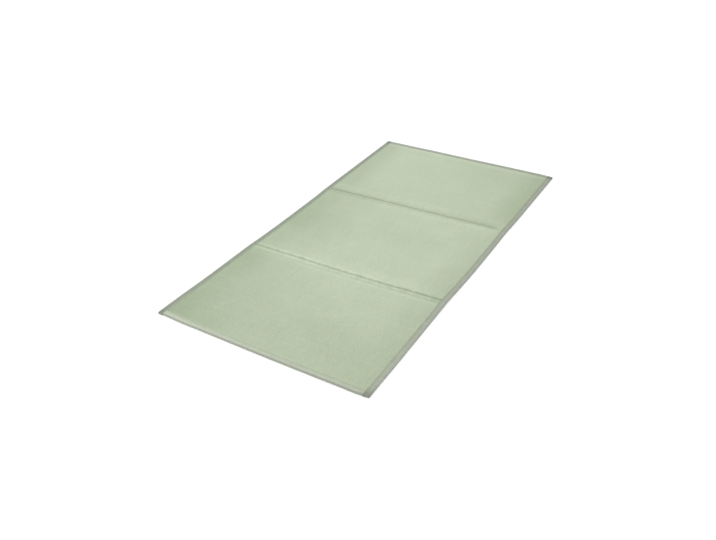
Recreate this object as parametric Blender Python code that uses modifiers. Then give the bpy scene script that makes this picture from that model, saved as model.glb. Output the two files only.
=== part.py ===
"""A rush floor mat that folds in three, lying open, bound in cloth on its four edges.

The mat is one woven rush body with two sewn creases across it. Four strips of cloth are folded
over its edges: the two long ones run the full length and close the corners, and the two short
ones lie between them. Every piece is first shaped as if the mat were a true rectangle, and is
then laid by the same function, which gives the uneven outline, the slant of the creases and the
places where the mat doesn't quite lie down.

Metres, +Z up. X runs across the mat, Y along it, from the near short edge to the far one. The
origin is on the floor, under the middle of the mat.
"""

from bisect import bisect_right
from collections import namedtuple
from math import copysign, cos, pi, sqrt

import bmesh
import bpy

MM = 0.001

# ---------------------------------------------------------------- driving dimensions
WIDTH = 880 * MM
LENGTH = 1760 * MM
FIELD_THICKNESS = 8.0 * MM
EDGE_THICKNESS = 6.6 * MM  # the rush is pressed thinner under the binding
CLOTH = 0.8 * MM  # the binding cloth, folded under along its sewn edge
GAP = 0.3 * MM  # between any two pieces
BINDING_REACH = 22.5 * MM  # from the outer face of the binding in to its sewn edge
PRESSED_FROM = 23.1 * MM  # from the same face in to where the rush starts to swell again
PRESSED_REACH = 29.6 * MM  # and to where it is full again
NOSE = 3.2 * MM  # how far in the mat's edge is rounded
NOSE_END = 0.35  # share of the thickness left at the very edge
ENDS_STAND_OUT = 1.2 * MM  # the long bindings' closed ends, past the short ones

MAT_INSET = CLOTH + GAP  # the rush body's edge, in from the binding's outer face
NEAR_CREASE = 0.333 * LENGTH - LENGTH / 2  # nominal places, before the creases are slanted
FAR_CREASE = 0.666 * LENGTH - LENGTH / 2
PINCH = 0.40  # share of a crease's section that carries on under the binding
CREASE_HOLD = 45 * MM  # on each side of a crease, the face shifts with it

# ---------------------------------------------------------------- tables
# How far an outline stands out from the true rectangle, along each side.
EdgePoint = namedtuple("EdgePoint", "along out_mm")
LEFT_SIDE = (
    EdgePoint(0.00, 0.6),
    EdgePoint(0.07, 0.6),
    EdgePoint(0.15, -1.9),
    EdgePoint(0.30, -1.1),
    EdgePoint(0.35, -3.0),
    EdgePoint(0.46, -4.6),
    EdgePoint(0.60, -2.5),
    EdgePoint(0.65, -0.2),
    EdgePoint(0.70, 2.0),
    EdgePoint(0.80, 3.9),
    EdgePoint(0.90, 5.6),
    EdgePoint(1.00, 7.2),
)
RIGHT_SIDE = (
    EdgePoint(0.00, -0.2),
    EdgePoint(0.08, -0.1),
    EdgePoint(0.16, -0.5),
    EdgePoint(0.24, -1.6),
    EdgePoint(0.33, -2.2),
    EdgePoint(0.40, -0.2),
    EdgePoint(0.45, 1.8),
    EdgePoint(0.58, 1.3),
    EdgePoint(0.66, -0.2),
    EdgePoint(0.73, 2.4),
    EdgePoint(0.88, 2.7),
    EdgePoint(1.00, 3.2),
)
NEAR_SIDE = (
    EdgePoint(0.00, -8.6),
    EdgePoint(0.05, -7.2),
    EdgePoint(0.12, -3.9),
    EdgePoint(0.22, -3.1),
    EdgePoint(0.50, 0.4),
    EdgePoint(0.72, 1.7),
    EdgePoint(0.88, 1.6),
    EdgePoint(0.95, 2.2),
    EdgePoint(1.00, -2.4),
)
FAR_SIDE = (
    EdgePoint(0.00, -7.6),
    EdgePoint(0.05, -5.0),
    EdgePoint(0.16, -4.0),
    EdgePoint(0.32, -1.3),
    EdgePoint(0.50, -0.9),
    EdgePoint(0.68, 1.4),
    EdgePoint(0.91, 3.2),
    EdgePoint(0.96, 1.6),
    EdgePoint(1.00, -3.6),
)

# Where the two creases run: a share of the mat's length, at places across it.
CreasePoint = namedtuple("CreasePoint", "across near far")
CREASE_LINES = (
    CreasePoint(0.00, 0.3182, 0.6514),
    CreasePoint(0.20, 0.3206, 0.6561),
    CreasePoint(0.42, 0.3213, 0.6594),
    CreasePoint(0.68, 0.3247, 0.6639),
    CreasePoint(1.00, 0.3286, 0.6667),
)

# The face's rise (or dip) across each crease, at distances towards the far end.
FoldPoint = namedtuple("FoldPoint", "offset_mm near_mm far_mm")
FOLD_SECTION = (
    FoldPoint(-44, 0.0, 0.0),
    FoldPoint(-34, 0.1, 0.4),
    FoldPoint(-26, -0.9, 0.1),
    FoldPoint(-19, 0.5, -0.4),
    FoldPoint(-12, 1.2, -1.0),
    FoldPoint(-6, 0.2, -2.1),
    FoldPoint(-3, -2.2, -3.1),
    FoldPoint(0, -4.6, -4.0),
    FoldPoint(3, -2.4, -3.1),
    FoldPoint(8, 0.9, -1.6),
    FoldPoint(15, 0.9, -0.5),
    FoldPoint(28, 0.0, 0.0),
)

# How deep the far crease is across the mat: it fades before it reaches the bindings.
FadePoint = namedtuple("FadePoint", "across near far")
CREASE_DEPTH = (
    FadePoint(0.00, 0.85, 0.35),
    FadePoint(0.05, 0.90, 0.85),
    FadePoint(0.50, 1.00, 1.00),
    FadePoint(0.93, 1.00, 0.80),
    FadePoint(1.00, 1.00, 0.35),
)

# Places where the mat is a little off the floor.
Lift = namedtuple("Lift", "across along rise_mm reach_across reach_along")
LIFTS = (
    Lift(1.00, 0.336, 3.4, 0.34, 0.060),
    Lift(0.00, 0.325, 1.2, 0.25, 0.045),
    Lift(1.00, 0.669, 1.5, 0.22, 0.045),
    Lift(0.00, 0.655, 1.2, 0.22, 0.045),
)

# ---------------------------------------------------------------- where the shapes are cut
EDGE_CUTS_MM = (0.9, 3.2, 21.9, 24.0, 26.5, 29.0)  # in from the mat's own edge
PANEL_CUTS = 6  # extra cuts between one crease or end and the next
FIELD_CUTS = 8  # extra cuts across the field
NOSE_STEPS = (0.30, 0.0)  # places on the rounded edge, from inside to the very edge

Finish = namedtuple("Finish", "name color roughness")
RUSH = Finish("sage_rush", (0.49, 0.57, 0.42, 1), 0.62)
BINDING_CLOTH = Finish("grey_green_cloth", (0.34, 0.38, 0.30, 1), 0.75)


# ---------------------------------------------------------------- curves through the tables
def smooth(rows, place, column):
    """A column's value at a place along the first column, on a smooth curve through the rows."""
    places = [row[0] for row in rows]
    values = [getattr(row, column) for row in rows]
    place = min(max(place, places[0]), places[-1])
    right = min(bisect_right(places, place), len(rows) - 1)
    left = right - 1

    def slope(i):
        before, after = max(i - 1, 0), min(i + 1, len(rows) - 1)
        return (values[after] - values[before]) / (places[after] - places[before])

    span = places[right] - places[left]
    t = (place - places[left]) / span
    start = values[left] * (1 + 2 * t) + slope(left) * span * t
    end = values[right] * (3 - 2 * t) - slope(right) * span * (1 - t)
    return start * (1 - t) ** 2 + end * t**2


def ease(t):
    """0 below 0, 1 above 1, and smooth between."""
    t = min(max(t, 0.0), 1.0)
    return t * t * (3 - 2 * t)


def hump(distance, reach):
    """1 at no distance, falling smoothly to 0 at the reach."""
    return 0.5 * (1 + cos(pi * min(abs(distance) / reach, 1.0)))


# ---------------------------------------------------------------- laying the mat
def across_share(x):
    return min(max(x / WIDTH + 0.5, 0.0), 1.0)


def along_share(y):
    return min(max(y / LENGTH + 0.5, 0.0), 1.0)


def crease_shift(x, y):
    """How far the slant of the creases moves a point along the mat."""
    u = across_share(x)
    near = (smooth(CREASE_LINES, u, "near") - 0.5) * LENGTH - NEAR_CREASE
    far = (smooth(CREASE_LINES, u, "far") - 0.5) * LENGTH - FAR_CREASE
    half = LENGTH / 2
    if y < NEAR_CREASE - CREASE_HOLD:
        return near * ease((y + half) / (NEAR_CREASE - CREASE_HOLD + half))
    if y < NEAR_CREASE + CREASE_HOLD:
        return near
    if y < FAR_CREASE - CREASE_HOLD:
        start, end = NEAR_CREASE + CREASE_HOLD, FAR_CREASE - CREASE_HOLD
        return near + (far - near) * ease((y - start) / (end - start))
    if y < FAR_CREASE + CREASE_HOLD:
        return far
    return far * ease((half - y) / (half - FAR_CREASE - CREASE_HOLD))


def side_shift(low, high, t, place):
    """The outline's own shift, shared between two opposite sides."""
    out_low = -smooth(low, place, "out_mm") * MM
    out_high = smooth(high, place, "out_mm") * MM
    return out_low + (out_high - out_low) * t


def footprint_middle():
    """The middle of the uneven outline's box."""
    steps = [i / 200 for i in range(201)]
    left = max(smooth(LEFT_SIDE, s, "out_mm") for s in steps)
    right = max(smooth(RIGHT_SIDE, s, "out_mm") for s in steps)
    near = max(smooth(NEAR_SIDE, s, "out_mm") for s in steps)
    far = max(smooth(FAR_SIDE, s, "out_mm") for s in steps)
    return (right - left) / 2 * MM, (far - near) / 2 * MM


MIDDLE_X, MIDDLE_Y = footprint_middle()


def lay(point):
    """Moves a point of the true rectangular mat to where it lies on the floor."""
    x, y, z = point
    u, v = across_share(x), along_share(y)
    point.x = x + side_shift(LEFT_SIDE, RIGHT_SIDE, u, v) - MIDDLE_X
    point.y = y + crease_shift(x, y) + side_shift(NEAR_SIDE, FAR_SIDE, v, u) - MIDDLE_Y
    point.z = z + MM * sum(
        lift.rise_mm
        * hump(u - lift.across, lift.reach_across)
        * hump(v - lift.along, lift.reach_along)
        for lift in LIFTS
    )


# ---------------------------------------------------------------- the mat's section
def fold_rise(x, y):
    """Rise of the face over a crease near this point, at full strength."""
    u = across_share(x)
    near = smooth(FOLD_SECTION, (y - NEAR_CREASE) / MM, "near_mm")
    far = smooth(FOLD_SECTION, (y - FAR_CREASE) / MM, "far_mm")
    return MM * (
        near * smooth(CREASE_DEPTH, u, "near") + far * smooth(CREASE_DEPTH, u, "far")
    )


def pinch(x, y):
    """How a crease carries on under the long binding on this side of the mat."""
    return PINCH * fold_rise(copysign(WIDTH / 2, x), y)


def rounded(t):
    """Share of the thickness at a place on the rounded edge: t is 0 at the edge, 1 inside it."""
    return NOSE_END + (1 - NOSE_END) * sqrt(max(1 - (1 - t) ** 2, 0.0))


def rush_section(x, y):
    """Height of the rush body's underside and face at a point of the true rectangle."""
    from_long = WIDTH / 2 - abs(x)
    from_short = LENGTH / 2 - abs(y)
    inset = min(from_long, from_short)
    full = ease((inset - PRESSED_FROM) / (PRESSED_REACH - PRESSED_FROM))
    bottom = MAT_INSET * (1 - full)
    pressed_top = MAT_INSET + EDGE_THICKNESS + pinch(x, y)
    top = pressed_top + (FIELD_THICKNESS + fold_rise(x, y) - pressed_top) * full
    share = 1.0
    for distance in (from_long, from_short):
        share *= rounded(min((distance - MAT_INSET) / NOSE, 1.0))
    middle, half = (top + bottom) / 2, (top - bottom) / 2 * share
    return middle - half, middle + half


# ---------------------------------------------------------------- stations
def edge_stations(half_side):
    """Places near the two ends of a side that the mat's section needs."""
    insets = [MAT_INSET] + [MAT_INSET + cut * MM for cut in EDGE_CUTS_MM]
    return [-half_side + inset for inset in insets] + [
        half_side - inset for inset in insets
    ]


def between(start, end, count):
    """Evenly spaced places strictly between two others."""
    return [start + (end - start) * i / (count + 1) for i in range(1, count + 1)]


def stations_across():
    inner = WIDTH / 2 - MAT_INSET - EDGE_CUTS_MM[-1] * MM
    return sorted(edge_stations(WIDTH / 2) + between(-inner, inner, FIELD_CUTS))


def stations_along():
    inner = LENGTH / 2 - MAT_INSET - EDGE_CUTS_MM[-1] * MM
    places = edge_stations(LENGTH / 2)
    for crease in (NEAR_CREASE, FAR_CREASE):
        places += [crease + point.offset_mm * MM for point in FOLD_SECTION]
    first, last = FOLD_SECTION[0].offset_mm * MM, FOLD_SECTION[-1].offset_mm * MM
    places += between(-inner, NEAR_CREASE + first, PANEL_CUTS)
    places += between(NEAR_CREASE + last, FAR_CREASE + first, PANEL_CUTS)
    places += between(FAR_CREASE + last, inner, PANEL_CUTS)
    return sorted(places)


# ---------------------------------------------------------------- objects
def finished(name, mesh_builder, collection, parent, finish):
    """An object in the collection, from a bmesh, with its own material."""
    mesh = bpy.data.meshes.new(name)
    mesh_builder.to_mesh(mesh)
    mesh_builder.free()
    material = bpy.data.materials.new(f"{name}_{finish.name}")
    material.use_nodes = True
    shader = material.node_tree.nodes["Principled BSDF"]
    shader.inputs["Base Color"].default_value = finish.color
    shader.inputs["Roughness"].default_value = finish.roughness
    shader.inputs["Metallic"].default_value = 0.0
    material.diffuse_color = finish.color
    mesh.materials.append(material)
    mesh.shade_smooth()
    mesh.set_sharp_from_angle(angle=pi / 4)
    piece = bpy.data.objects.new(name, mesh)
    piece.parent = parent
    collection.objects.link(piece)
    return piece


def rush_mat(collection, parent):
    """The rush body: a box cut at each station, whose two faces take the mat's section."""
    across, along = stations_across(), stations_along()
    shape = bmesh.new()
    bmesh.ops.create_cube(shape, size=1.0)
    for vert in shape.verts:
        vert.co.x = across[-1] if vert.co.x > 0 else across[0]
        vert.co.y = along[-1] if vert.co.y > 0 else along[0]
    for axis, places in (((1, 0, 0), across), ((0, 1, 0), along)):
        for place in places[1:-1]:
            bmesh.ops.bisect_plane(
                shape,
                geom=shape.verts[:] + shape.edges[:] + shape.faces[:],
                dist=1e-7,
                plane_co=[place * part for part in axis],
                plane_no=axis,
            )
    for vert in shape.verts:
        bottom, top = rush_section(vert.co.x, vert.co.y)
        vert.co.z = top if vert.co.z > 0 else bottom
        lay(vert.co)
    return finished("rush_mat", shape, collection, parent, RUSH)


def wrap_section(dip):
    """The binding cloth's inner face round the mat's edge: (in from its outer face, height)."""
    low = CLOTH
    high = MAT_INSET + EDGE_THICKNESS + GAP + dip
    nose = NOSE + GAP
    middle, half = (low + high) / 2, (high - low) / 2
    section = [(BINDING_REACH, -half), (BINDING_REACH / 2, -half), (CLOTH + nose, -half)]
    section += [(CLOTH + nose * t, -half * rounded(t)) for t in NOSE_STEPS]
    section += [(inset, -rise) for inset, rise in reversed(section)]
    return [(inset, middle + rise) for inset, rise in section]


def close_end(shape, end):
    """Folds one end of a strip shut with a face over its U."""
    rim = [vert for vert in shape.verts if abs(vert.co.y - end) < GAP]
    bmesh.ops.contextual_create(shape, geom=rim)


def binding_strip(name, places, point_on, closed, collection, parent):
    """A strip of cloth folded over an edge: a grid with a row at each place along the edge."""
    columns = len(wrap_section(0.0))
    shape = bmesh.new()
    bmesh.ops.create_grid(shape, x_segments=columns - 1, y_segments=len(places) - 1, size=0.5)
    for vert in shape.verts:
        column = round((vert.co.x + 0.5) * (columns - 1))
        row = round((vert.co.y + 0.5) * (len(places) - 1))
        vert.co = point_on(column, places[row])
    if closed:
        close_end(shape, places[0])
        close_end(shape, places[-1])
    for vert in shape.verts:
        lay(vert.co)
    bmesh.ops.recalc_face_normals(shape, faces=shape.faces[:])
    piece = finished(name, shape, collection, parent, BINDING_CLOTH)
    cloth = piece.modifiers.new("cloth", "SOLIDIFY")
    cloth.thickness = CLOTH
    cloth.offset = 1.0
    cloth.use_even_offset = True
    return piece


def long_binding(name, side, collection, parent):
    """The strip on a long edge (side -1 left, 1 right), past both corners and folded shut."""
    end = LENGTH / 2 + ENDS_STAND_OUT - CLOTH
    places = [-end] + stations_along() + [end]

    def point_on(column, y):
        inset, height = wrap_section(pinch(side, y))[column]
        return side * (WIDTH / 2 - inset), y, height

    return binding_strip(name, places, point_on, True, collection, parent)


def short_binding(name, side, collection, parent):
    """The strip on a short edge (side -1 near, 1 far), between the two long ones."""
    end = WIDTH / 2 - BINDING_REACH - GAP
    places = [-end] + [x for x in stations_across() if abs(x) < end - GAP] + [end]

    def point_on(column, x):
        inset, height = wrap_section(0.0)[column]
        return x, side * (LENGTH / 2 - inset), height

    return binding_strip(name, places, point_on, False, collection, parent)


def main():
    for old in list(bpy.data.objects):
        bpy.data.objects.remove(old, do_unlink=True)
    collection = bpy.data.collections.new("tatami_mat")
    bpy.context.scene.collection.children.link(collection)
    middle = bpy.data.objects.new("tatami_mat_middle", None)
    collection.objects.link(middle)
    rush_mat(collection, middle)
    long_binding("binding_left", -1, collection, middle)
    long_binding("binding_right", 1, collection, middle)
    short_binding("binding_near", -1, collection, middle)
    short_binding("binding_far", 1, collection, middle)


main()
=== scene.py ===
"""A rush floor mat that folds in three, lying open on a pale floor, bound in cloth on its edges.

The frame holds the mat's plain solids. Each one is replaced here by its finished piece: the woven
rush body with its ribs and its two sewn creases, and the four strips of binding cloth folded over
the edges. The sewing is added as stitches that lie on them. Every piece is shaped as if the mat
were a true rectangle, and is then laid by one function, as the solids are.

Metres, +Z up. X runs across the mat, Y along it, from the near short edge to the far one.
"""

from collections import namedtuple
from math import cos, pi, radians, sin

import bpy
import numpy as np
from mathutils import Matrix, Vector


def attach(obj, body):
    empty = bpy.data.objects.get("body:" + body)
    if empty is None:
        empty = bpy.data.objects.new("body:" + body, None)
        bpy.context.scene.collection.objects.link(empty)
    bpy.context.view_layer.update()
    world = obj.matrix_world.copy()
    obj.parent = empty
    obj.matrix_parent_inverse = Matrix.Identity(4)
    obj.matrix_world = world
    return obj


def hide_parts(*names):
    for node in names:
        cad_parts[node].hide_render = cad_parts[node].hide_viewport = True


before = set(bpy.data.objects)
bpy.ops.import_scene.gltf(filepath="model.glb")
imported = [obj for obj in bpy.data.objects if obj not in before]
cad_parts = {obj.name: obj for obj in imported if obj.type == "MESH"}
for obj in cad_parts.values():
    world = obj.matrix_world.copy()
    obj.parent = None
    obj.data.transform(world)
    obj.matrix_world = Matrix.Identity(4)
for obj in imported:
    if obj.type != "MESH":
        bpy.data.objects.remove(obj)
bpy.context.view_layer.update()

MM = 0.001


def table(columns, *rows):
    """A table's rows, whose columns are read by name."""
    row_kind = namedtuple("row", columns)
    return [row_kind(*row) for row in rows]


# ------------------------ sizes of the solids
WIDTH = 880 * MM
LENGTH = 1760 * MM
FIELD_THICKNESS = 8.0 * MM
EDGE_THICKNESS = 6.6 * MM  # the rush is pressed thinner under the binding
CLOTH = 0.8 * MM  # the binding cloth, folded under along its sewn edge
GAP = 0.3 * MM  # between any two pieces
BINDING_REACH = 22.5 * MM  # from the outer face of the binding in to its sewn edge
PRESSED_FROM = 23.1 * MM  # from the same face in to where the rush starts to swell again
PRESSED_REACH = 29.6 * MM  # and to where it is full again
NOSE = 3.2 * MM  # how far in the mat's edge is rounded
NOSE_END = 0.35  # share of the thickness left at the very edge
ENDS_STAND_OUT = 1.2 * MM  # the long bindings' closed ends, past the short ones

MAT_INSET = CLOTH + GAP  # the rush body's edge, in from the binding's outer face
NEAR_CREASE = 0.333 * LENGTH - LENGTH / 2  # nominal places, before the creases are slanted
FAR_CREASE = 0.666 * LENGTH - LENGTH / 2
PINCH = 0.40  # share of a crease's section that carries on under the binding
CREASE_HOLD = 45 * MM  # on each side of a crease, the face shifts with it

# How far an outline stands out from the true rectangle, along each side.
LEFT_SIDE = table(
    "along out_mm",
    (0.00, 0.6),
    (0.07, 0.6),
    (0.15, -1.9),
    (0.30, -1.1),
    (0.35, -3.0),
    (0.46, -4.6),
    (0.60, -2.5),
    (0.65, -0.2),
    (0.70, 2.0),
    (0.80, 3.9),
    (0.90, 5.6),
    (1.00, 7.2),
)
RIGHT_SIDE = table(
    "along out_mm",
    (0.00, -0.2),
    (0.08, -0.1),
    (0.16, -0.5),
    (0.24, -1.6),
    (0.33, -2.2),
    (0.40, -0.2),
    (0.45, 1.8),
    (0.58, 1.3),
    (0.66, -0.2),
    (0.73, 2.4),
    (0.88, 2.7),
    (1.00, 3.2),
)
NEAR_SIDE = table(
    "along out_mm",
    (0.00, -8.6),
    (0.05, -7.2),
    (0.12, -3.9),
    (0.22, -3.1),
    (0.50, 0.4),
    (0.72, 1.7),
    (0.88, 1.6),
    (0.95, 2.2),
    (1.00, -2.4),
)
FAR_SIDE = table(
    "along out_mm",
    (0.00, -7.6),
    (0.05, -5.0),
    (0.16, -4.0),
    (0.32, -1.3),
    (0.50, -0.9),
    (0.68, 1.4),
    (0.91, 3.2),
    (0.96, 1.6),
    (1.00, -3.6),
)

# Where the two creases run: a share of the mat's length, at places across it.
CREASE_LINES = table(
    "across near far",
    (0.00, 0.3182, 0.6514),
    (0.20, 0.3206, 0.6561),
    (0.42, 0.3213, 0.6594),
    (0.68, 0.3247, 0.6639),
    (1.00, 0.3286, 0.6667),
)

# The face's rise (or dip) across each crease, at distances towards the far end.
FOLD_SECTION = table(
    "offset_mm near_mm far_mm",
    (-44, 0.0, 0.0),
    (-34, 0.1, 0.4),
    (-26, -0.9, 0.1),
    (-19, 0.5, -0.4),
    (-12, 1.2, -1.0),
    (-6, 0.2, -2.1),
    (-3, -2.2, -3.1),
    (0, -4.6, -4.0),
    (3, -2.4, -3.1),
    (8, 0.9, -1.6),
    (15, 0.9, -0.5),
    (28, 0.0, 0.0),
)

# How deep the creases are across the mat: the far one fades before it reaches the bindings.
CREASE_DEPTH = table(
    "across near far",
    (0.00, 0.85, 0.35),
    (0.05, 0.90, 0.85),
    (0.50, 1.00, 1.00),
    (0.93, 1.00, 0.80),
    (1.00, 1.00, 0.35),
)

# Places where the mat is a little off the floor.
LIFTS = table(
    "across along rise_mm reach_across reach_along",
    (1.00, 0.336, 3.4, 0.34, 0.060),
    (0.00, 0.325, 1.2, 0.25, 0.045),
    (1.00, 0.669, 1.5, 0.22, 0.045),
    (0.00, 0.655, 1.2, 0.22, 0.045),
)

# Small unevenness: how high it is, how far one ripple is from the next, and its random draw.
Ripple = namedtuple("Ripple", "height size draw")
FOLD_PUCKERS = Ripple(0.45, 28 * MM, 5)  # in shares of a fold's rise
FOLD_DEPTHS = Ripple(0.1, 60 * MM, 3)
RIB_DRIFT = Ripple(0.35 * MM, 150 * MM, 11)
RIB_TIGHTNESS = Ripple(0.45, 7 * MM, 12)  # in shares of a rib's dip, with one step for each rib
RIB_STRETCH = 12  # how much longer that unevenness is along a rib
PANEL_SWELLS = Ripple(0.35 * MM, 95 * MM, 7)
PANEL_RIPPLES = Ripple(0.07 * MM, 34 * MM, 8)
TAPE_PUCKERS = Ripple(0.16 * MM, 11 * MM, 0)  # each strip adds its own seed to these draws
TAPE_SWELLS = Ripple(0.26 * MM, 37 * MM, 1)
TAPE_WAVE = Ripple(0.3 * MM, 45 * MM, 3)

# ------------------------ sizes of the finish
RIB = 13.0 * MM  # from one rib of the weave to the next
RIB_COUNT = 65  # between the bindings, the outer ones a little under them
RIB_DIP = 0.20 * MM  # how far the weave dips between two ribs, on average
RIB_CROWN = 0.08 * MM  # how far a rib's middle stands above its flanks
RIB_VALLEY = 0.095  # half width of the dip, in ribs
RIB_PLACES = (0.0, 0.075, 0.24, 0.5, 0.76, 0.925)  # where a rib's section has its points
RIB_UNDER_BINDING = 0.25  # share of the relief that pressing leaves
STEM = 1.25 * MM  # one stem of rush, as it shows on a rib
DIP_SHADE = 1.6 * RIB_VALLEY  # half width of the painted shade in a dip, in ribs
TAPE_THREAD = 0.6 * MM  # one thread of the binding cloth's weave

ROW_STEP = 16 * MM  # between rows of points along a panel
CREASE_ROW_STEP = 2 * MM  # and over a crease
SPARSE = 3  # the underside has every third column and row
ROUND_EDGE = (0.0, 0.08, 0.3, 1.0)  # places on the rounded edge, from the very edge in
UNDERSIDE_START = 200 * RIB  # where the underside's stretch of the weave starts on the flat map

SEAM_INSET = 20.0 * MM  # the bindings' stitch line, in from the outer face
HEM_INSET = 16.0 * MM  # the binding's turned-under edge reaches out to here
HEM_RISE = 0.30 * MM
HEM_STEP = 1.4 * MM  # over which the hem rises
TURN_DOWN = 0.22 * MM  # how far the sewn edge bends down onto the rush
TURN_REACH = 0.4 * MM
TAPE_MIDDLE = 11 * MM  # in from the outer face, where a strip puckers most
SEAM_PULL = 0.25 * MM  # how far the thread draws the cloth in, over and under the mat
SEAM_REACH = 2.6 * MM  # on each side of the stitches
CREASE_SEAM_REACH = 8 * MM
SEAM_ENDS = 2 * MM  # left without stitches at both ends of a long strip

FLAT_MAP = "flat_cut"  # each piece's own map: its place on the flat piece, in metres
FALLOFF_MAP = "light_falloff"  # painted light and shade over the rush body's face, at each point

Stitch = namedtuple("Stitch", "pitch length thread")
BINDING_STITCH = Stitch(4.5 * MM, 3.5 * MM, 0.55 * MM)
CREASE_STITCH = Stitch(6.0 * MM, 4.6 * MM, 0.65 * MM)

# A stitch's rings along it: place in half lengths, girth and height in the thread's radius.
STITCH_RINGS = table(
    "place girth height",
    (-1.00, 0.35, -0.90),
    (-0.78, 0.90, -0.15),
    (0.00, 1.00, 0.20),
    (0.78, 0.90, -0.15),
    (1.00, 0.35, -0.90),
)
STITCH_SIDES = 5
STITCH_LENGTHS = (0.92, 1.06)  # the shortest and the longest, in shares of a stitch
STITCH_LEAN = 0.05  # how far a stitch usually leans, in shares of its length
STITCH_ASIDE = 0.07 * MM  # and how far off the seam's line it lies

# Painted light and shade over each crease at its left and right end, at distances towards the far
# end: painted highlights on the folds' slopes that face the light, painted shade in the bottom.
CREASE_LIGHT_AND_SHADE = table(
    "offset_mm near_left near_right far_left far_right",
    (-80, 1.00, 1.00, 1.00, 1.00),
    (-48, 1.02, 1.00, 1.02, 1.04),
    (-36, 1.07, 1.08, 0.97, 1.08),
    (-31, 1.09, 1.10, 0.91, 1.06),
    (-26, 1.02, 0.93, 0.93, 1.01),
    (-20, 1.08, 0.83, 0.97, 0.97),
    (-15, 1.22, 0.94, 0.98, 0.93),
    (-10, 1.22, 1.00, 0.95, 0.88),
    (-5, 1.02, 0.92, 0.80, 0.76),
    (-2, 0.83, 0.62, 0.63, 0.65),
    (2, 0.85, 0.59, 0.68, 0.69),
    (6, 1.09, 0.91, 0.90, 0.79),
    (11, 1.24, 1.04, 0.96, 0.86),
    (17, 1.17, 1.06, 1.00, 0.90),
    (24, 1.07, 1.08, 1.05, 0.91),
    (32, 1.06, 1.07, 1.06, 0.98),
    (48, 1.04, 1.05, 1.05, 0.99),
    (80, 1.00, 1.00, 1.00, 1.00),
)
FAR_CREASE_FADES = (0.92, 0.97)  # across the mat, where the far crease's painted light and shade end
FAR_CREASE_END_TONE = 0.97
CREASE_MINGLING = 0.35  # how far the left and right ends' tones mingle, in shares of the width
CREASE_WANDERING = 2.2 * MM  # how far the edges of the tones wander

# Painted light and shade round each binding strip, from its sewn edge on the face, over the mat's
# edge and on to its underside: painted highlights where the cloth faces the key light, painted shade
# on its side face and underneath.
TAPE_LIGHT_AND_SHADE = table(
    "round_mm left right near far",
    (0.0, 1.30, 0.95, 1.00, 1.12),
    (4.0, 1.18, 0.98, 1.00, 1.13),
    (7.5, 1.00, 1.02, 1.02, 1.13),
    (12.5, 0.98, 1.10, 1.12, 1.11),
    (16.0, 1.13, 1.09, 1.17, 1.09),
    (18.5, 1.22, 1.01, 1.02, 1.07),
    (20.5, 1.26, 0.95, 0.80, 1.05),
    (22.5, 1.22, 0.86, 0.74, 1.03),
    (26.0, 1.10, 1.01, 0.94, 1.00),
    (31.0, 0.90, 1.00, 0.96, 0.90),
    (46.0, 0.72, 0.70, 0.68, 0.70),
)
CORNER_REACH = 40 * MM  # how far a corner stays darker along a strip

# Painted light and shade along each strip, lighter at its start than at its end, and the tones of the
# corners at its two ends.
TapeEnds = namedtuple("TapeEnds", "start end start_corner end_corner")
TAPE_ENDS = {
    "left": TapeEnds(1.04, 0.98, 0.78, 0.56),
    "right": TapeEnds(1.03, 0.87, 0.58, 0.40),
    "near": TapeEnds(1.07, 0.90, 1.00, 0.80),
    "far": TapeEnds(1.03, 0.90, 1.00, 1.00),
}

# Painted light and shade over the face, the studio light's falloff, lighter in the middle and darker
# towards the sides and corners: percent of its full tone, along the mat and across it.
FAR_HIGHLIGHT_INSET = 35 * MM  # a band of painted highlight along the far binding
FAR_HIGHLIGHT_REACH = 28 * MM
FAR_HIGHLIGHT_TONE = 0.075
FACE_LIGHT_FALLOFF_ACROSS = (0.05, 0.20, 0.40, 0.60, 0.80, 0.95)
FACE_LIGHT_FALLOFF = table(
    "along percent",
    (0.03, (73, 84, 89, 89, 88, 85)),
    (0.11, (80, 87, 90, 89, 89, 86)),
    (0.20, (82, 89, 94, 95, 93, 87)),
    (0.29, (79, 90, 98, 99, 95, 88)),
    (0.38, (87, 94, 100, 99, 96, 88)),
    (0.50, (81, 90, 97, 96, 96, 90)),
    (0.64, (86, 92, 98, 99, 97, 92)),
    (0.76, (88, 98, 99, 97, 93, 81)),
    (0.97, (88, 100, 98, 93, 89, 79)),
)

# Colours of the finishes.
RUSH_DARK = (0.461, 0.540, 0.387, 1)
RUSH_LIGHT = (0.548, 0.627, 0.481, 1)
RUSH_SUNNY = (0.620, 0.600, 0.380, 1)
RUSH_GREENER_IN_SHADE = (0.965, 1.0, 0.925, 1)  # a greener tint where the painted light over the face is darkest: painted shade
WHITE = (1, 1, 1, 1)
GREENER_IN_SHADE_FROM_TO = (0.80, 0.95)  # the painted light's tones between which the greener tint gives way
SUNNY_SHARE = 0.03  # of the stems, which are straw-coloured
THREAD_DARK = (0.33, 0.37, 0.29, 1)
THREAD_LIGHT = (0.42, 0.46, 0.37, 1)
TapeColor = namedtuple("TapeColor", "light dark")
# Each strip is the same tape: its colours differ as painted light and shade, darkest on the left
# strip, which faces away from the key light, and lightest on the near one.
TAPE_LIT_AND_SHADED_COLORS = {
    "left": TapeColor((0.29, 0.325, 0.255, 1), (0.22, 0.25, 0.195, 1)),
    "right": TapeColor((0.35, 0.385, 0.31, 1), (0.27, 0.30, 0.235, 1)),
    "near": TapeColor((0.43, 0.485, 0.365, 1), (0.36, 0.41, 0.30, 1)),
    "far": TapeColor((0.33, 0.365, 0.29, 1), (0.26, 0.29, 0.225, 1)),
}

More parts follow.
